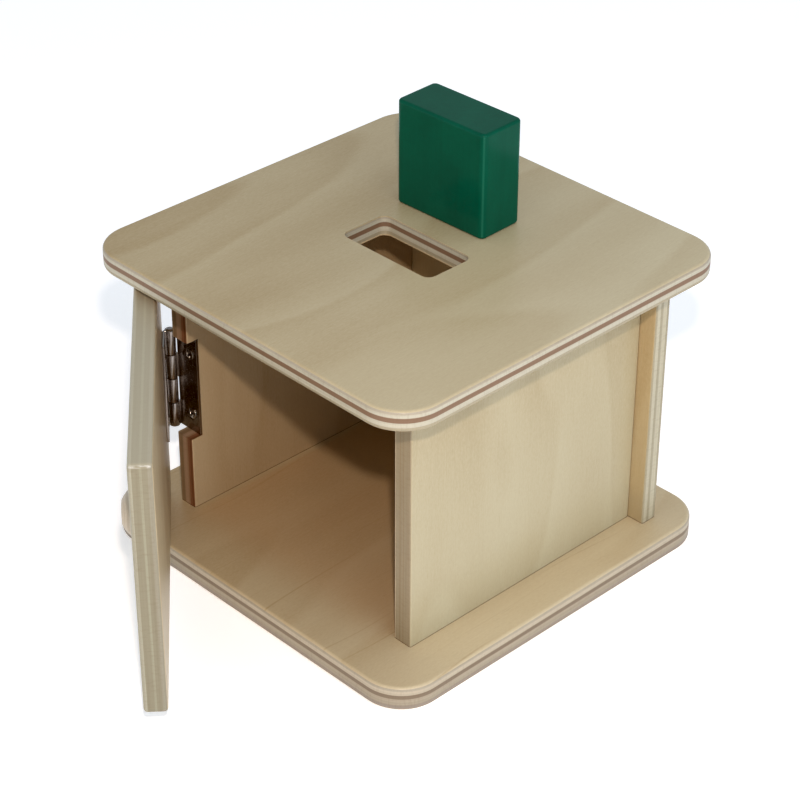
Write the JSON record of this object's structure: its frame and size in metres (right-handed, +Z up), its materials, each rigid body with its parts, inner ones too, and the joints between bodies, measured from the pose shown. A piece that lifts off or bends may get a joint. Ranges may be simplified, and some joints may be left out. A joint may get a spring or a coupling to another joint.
{
  "type": "object permanence box",
  "caption": "Plywood toy box with a slotted top plate, a door with a knob on a butt hinge, and a painted block that is posted through the slot and taken out at the door.",
  "frame": {"origin": "middle of the base plate's underside", "axes": "+Z up, -Y towards the door's side, +X to the right of someone who faces the door"},
  "size_m": [0.17, 0.2397, 0.172],
  "materials": {
    "plywood": "clear satin lacquer on pale plywood, with darker plies on the edges",
    "turned_wood": "turned smooth, with the same clear satin lacquer",
    "dowel_wood": "raw",
    "hinge_steel": "dark nickel, polished",
    "screw_steel": "dark nickel, bright on the edges",
    "green_paint": "dark green gloss paint on wood"
  },
  "bodies": {
    "box": {"base_plate": "plywood", "top_plate": "plywood", "left_wall": "plywood", "right_wall": "plywood", "back_wall": "plywood", "base_dowels": "dowel_wood", "top_dowels": "dowel_wood", "hinge_wall_leaf": "hinge_steel", "hinge_pin": "hinge_steel", "wall_leaf_screws": "screw_steel"},
    "door": {"door": "plywood", "knob": "turned_wood", "hinge_door_leaf": "hinge_steel", "door_leaf_screws": "screw_steel"},
    "block": {"block": "green_paint"}
  },
  "joints": [
    {"name": "door_hinge", "type": "hinge", "parent": "box", "child": "door", "pos_m": [-0.0702, -0.0581, 0.0644], "axis": [0, 0, -1], "range_deg": [-39.8, 135]},
    {"name": "block_lift", "type": "slide", "parent": "box", "child": "block", "axis": [0, 0, 1], "range_m": [0, 0.06]}
  ]
}
